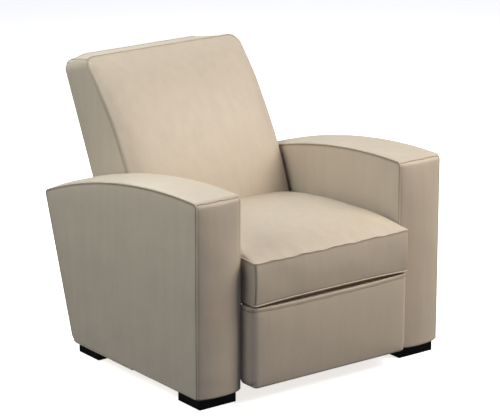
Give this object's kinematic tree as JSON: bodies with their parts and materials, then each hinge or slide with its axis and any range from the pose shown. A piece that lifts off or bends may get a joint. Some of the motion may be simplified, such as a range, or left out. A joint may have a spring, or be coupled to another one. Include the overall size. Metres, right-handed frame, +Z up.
{
  "type": "cinema recliner seat",
  "caption": "Club-style cinema recliner: arched box arms, crowned loose cushion, leaning backrest that reclines and a footrest that swings out from under the seat.",
  "frame": {"origin": "on the floor, at the middle of the whole seat's width and depth at rest", "axes": "+Z up, -Y to the seat's front, +X to the sitter's left"},
  "size_m": [0.87, 0.9662, 0.8466],
  "materials": {
    "cream_leather": "soft matt, fine grain",
    "birch_plywood": "sanded, bare",
    "pine": "planed, bare",
    "black_block": "black lacquer, satin",
    "black_steel": "black powder coat",
    "zinc_steel": "zinc plated",
    "spring_steel": "oiled wire",
    "grey_cloth": "non-woven",
    "white_nylon": "moulded"
  },
  "bodies": {
    "base": {"arm_bolts": "zinc_steel", "arm_nuts": "zinc_steel", "back_hinge_pins": "zinc_steel", "cross_tube": "black_steel", "feet": "black_block", "foot_screws": "zinc_steel", "footrest_springs": "spring_steel", "left_arm_cover": "cream_leather", "left_arm_panels": "birch_plywood", "left_arm_posts": "pine", "left_arm_sole": "birch_plywood", "left_seat_rail": "pine", "left_side_plate": "black_steel", "rear_panel_board": "birch_plywood", "rear_panel_cover": "cream_leather", "right_arm_cover": "cream_leather", "right_arm_panels": "birch_plywood", "right_arm_posts": "pine", "right_arm_sole": "birch_plywood", "right_seat_rail": "pine", "right_side_plate": "black_steel", "seat_corner_blocks": "pine", "seat_cushion": "cream_leather", "seat_deck_cloth": "grey_cloth", "seat_nose_board": "birch_plywood", "seat_rear_rail": "pine", "seat_springs": "spring_steel", "spring_clips": "zinc_steel", "support_pins": "zinc_steel", "tube_bushes": "white_nylon"},
    "back": {"back_posts": "pine", "back_rails": "pine", "back_webbing": "grey_cloth", "back_rear_board": "birch_plywood", "back_cover": "cream_leather", "back_pad": "cream_leather", "left_back_bracket": "black_steel", "right_back_bracket": "black_steel", "back_bracket_bolts": "zinc_steel"},
    "drive": {"drive_tube": "black_steel", "left_drive_link": "black_steel", "right_drive_link": "black_steel", "crossing_pins": "zinc_steel", "knee_pins": "zinc_steel", "spring_levers": "black_steel"},
    "support": {"left_support_link": "black_steel", "right_support_link": "black_steel", "elbow_pins": "zinc_steel"},
    "upper": {"left_upper_link": "black_steel", "right_upper_link": "black_steel"},
    "lower": {"left_lower_link": "black_steel", "right_lower_link": "black_steel", "lower_toe_pins": "zinc_steel"},
    "footrest": {"left_footrest_bracket": "black_steel", "right_footrest_bracket": "black_steel", "footrest_board": "birch_plywood", "footrest_pad": "cream_leather", "footrest_screws": "zinc_steel", "upper_toe_pins": "zinc_steel"}
  },
  "joints": [
    {"name": "back_recline", "type": "hinge", "parent": "base", "child": "back", "pos_m": [0, 0.17093, 0.262], "axis": [-1, 0, 0], "range_deg": [0, 28]},
    {"name": "footrest_extend", "type": "hinge", "parent": "base", "child": "drive", "pos_m": [0, -0.32407, 0.272], "axis": [-1, 0, 0], "range_deg": [0, 90], "deforming": ["footrest_springs"]},
    {"name": "support_swing", "type": "hinge", "parent": "base", "child": "support", "pos_m": [0, -0.26406, 0.23605], "axis": [-1, 0, 0], "range_deg": [0, 90]},
    {"name": "upper_fold", "type": "hinge", "parent": "drive", "child": "upper", "pos_m": [0, -0.21713, 0.14898], "axis": [-1, 0, 0], "range_deg": [-90, 0]},
    {"name": "lower_fold", "type": "hinge", "parent": "drive", "child": "lower", "pos_m": [0, -0.17121, 0.09615], "axis": [-1, 0, 0], "range_deg": [-90, 0]},
    {"name": "footrest_turn", "type": "hinge", "parent": "lower", "child": "footrest", "pos_m": [0, -0.36074, 0.20971], "axis": [-1, 0, 0], "range_deg": [0, 90]}
  ],
  "couplings": [
    {"joint": "support_swing", "follows": "footrest_extend", "ratio": 1},
    {"joint": "upper_fold", "follows": "footrest_extend", "ratio": -1},
    {"joint": "lower_fold", "follows": "footrest_extend", "ratio": -1},
    {"joint": "footrest_turn", "follows": "footrest_extend", "ratio": 1}
  ]
}
